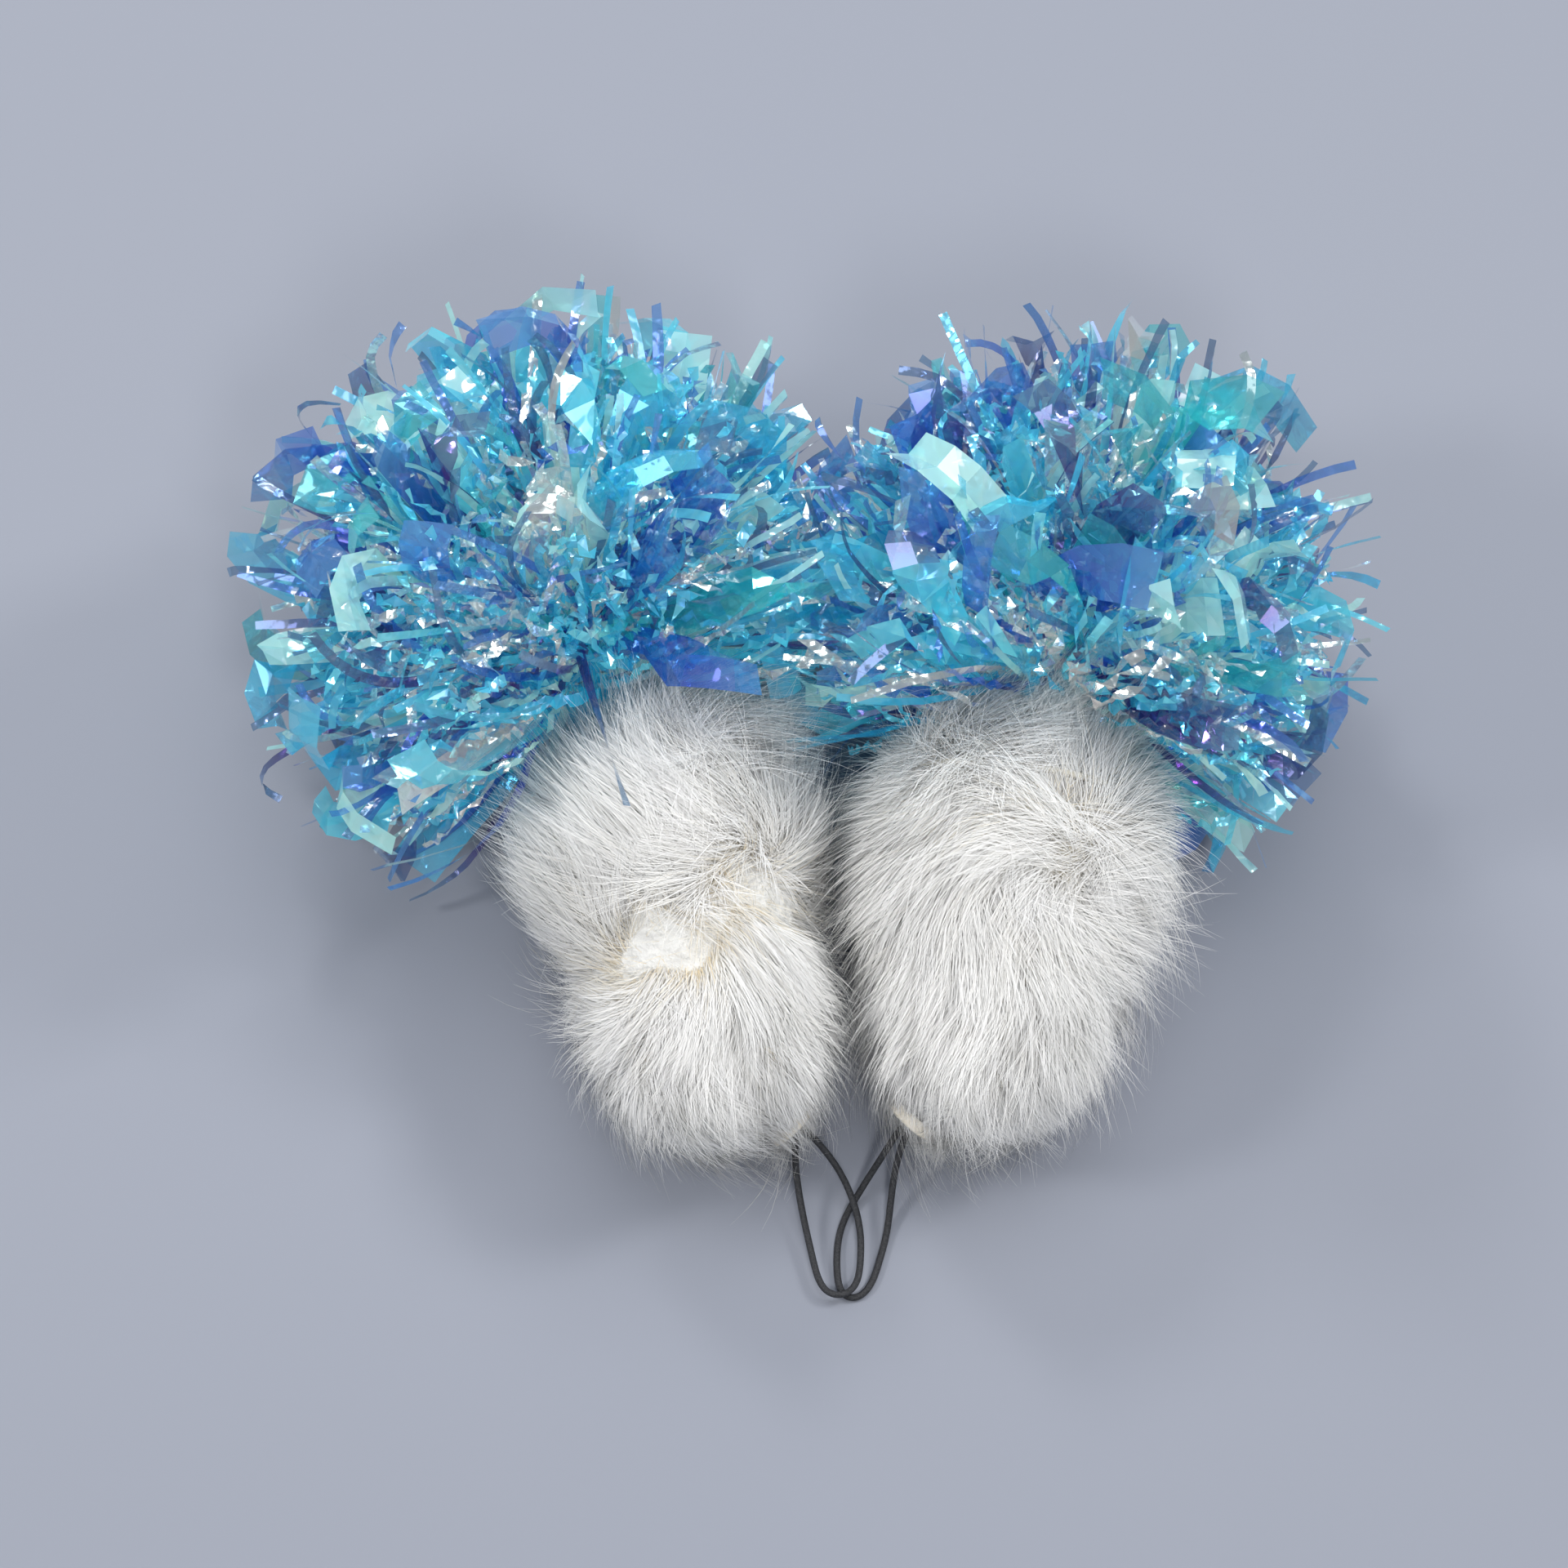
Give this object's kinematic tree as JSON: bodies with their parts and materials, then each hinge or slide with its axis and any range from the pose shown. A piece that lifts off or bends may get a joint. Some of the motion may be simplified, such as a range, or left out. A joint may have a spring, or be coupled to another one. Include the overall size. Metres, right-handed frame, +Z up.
{
  "type": "cheer pom pom pair",
  "caption": "Small finger pom poms: bursts of iridescent cut film on white stuffed fur sleeves, each with a thin black elastic finger loop.",
  "frame": {"origin": "on the table, under the middle of the pair", "axes": "+X to the right pom pom, +Y from the finger loops to the tinsel heads, +Z up from the table"},
  "size_m": [0.2533, 0.2211, 0.1165],
  "materials": {
    "rabbit_fur": "white rabbit fur, soft and combed, cream at the roots",
    "stuffing": "loose polyester fibre filling",
    "thread": "waxed cotton thread",
    "leather": "undyed suede patch",
    "washer_plastic": "moulded plastic washer",
    "elastic": "matt black covered elastic cord",
    "wire": "soft annealed wire",
    "film": "aqua iridescent film, cut fine and crinkled",
    "wide_film": "blue to violet iridescent film in wide strips"
  },
  "bodies": {
    "left_sleeve": {"left_fur_sleeve": "rabbit_fur", "left_stuffing": "stuffing", "left_mouth_thread": "thread", "left_end_patch": "leather", "left_patch_thread": "thread", "left_stay_washer": "washer_plastic", "left_elastic_tie": "elastic"},
    "right_sleeve": {"right_fur_sleeve": "rabbit_fur", "right_stuffing": "stuffing", "right_mouth_thread": "thread", "right_end_patch": "leather", "right_patch_thread": "thread", "right_stay_washer": "washer_plastic", "right_elastic_tie": "elastic"},
    "left_neck": {"left_neck_binding": "thread"},
    "right_neck": {"right_neck_binding": "thread"},
    "left_head": {"left_wire_stem": "wire", "left_tinsel_root": "film", "left_binding_wire": "wire", "left_fine_tinsel": "film", "left_wide_strips": "wide_film"},
    "right_head": {"right_wire_stem": "wire", "right_tinsel_root": "film", "right_binding_wire": "wire", "right_fine_tinsel": "film", "right_wide_strips": "wide_film"},
    "left_loop": {"left_finger_loop": "elastic"},
    "right_loop": {"right_finger_loop": "elastic"}
  },
  "joints": [
    {"name": "pair_apart", "type": "slide", "parent": "left_sleeve", "child": "right_sleeve", "axis": [1, 0, 0], "range_m": [0, 0.15]},
    {"name": "left_head_sway", "type": "hinge", "parent": "left_sleeve", "child": "left_neck", "pos_m": [-0.032, -0.03363, 0.031], "axis": [0, 0, 1], "range_deg": [0, 20]},
    {"name": "left_head_lift", "type": "hinge", "parent": "left_neck", "child": "left_head", "pos_m": [-0.032, -0.03363, 0.031], "axis": [1, 0, 0], "range_deg": [0, 20]},
    {"name": "right_head_sway", "type": "hinge", "parent": "right_sleeve", "child": "right_neck", "pos_m": [0.0425, -0.0312, 0.031], "axis": [0, 0, -1], "range_deg": [0, 20]},
    {"name": "right_head_lift", "type": "hinge", "parent": "right_neck", "child": "right_head", "pos_m": [0.0425, -0.0312, 0.031], "axis": [1, 0, 0], "range_deg": [0, 20]},
    {"name": "left_loop_lift", "type": "hinge", "parent": "left_sleeve", "child": "left_loop", "pos_m": [-0.00461, -0.08899, 0.01259], "axis": [-0.659, -0.7522, 0], "range_deg": [0, 70]},
    {"name": "right_loop_swing", "type": "hinge", "parent": "right_sleeve", "child": "right_loop", "pos_m": [0.01875, -0.08821, 0.01259], "axis": [0, 0, 1], "range_deg": [0, 30]}
  ]
}
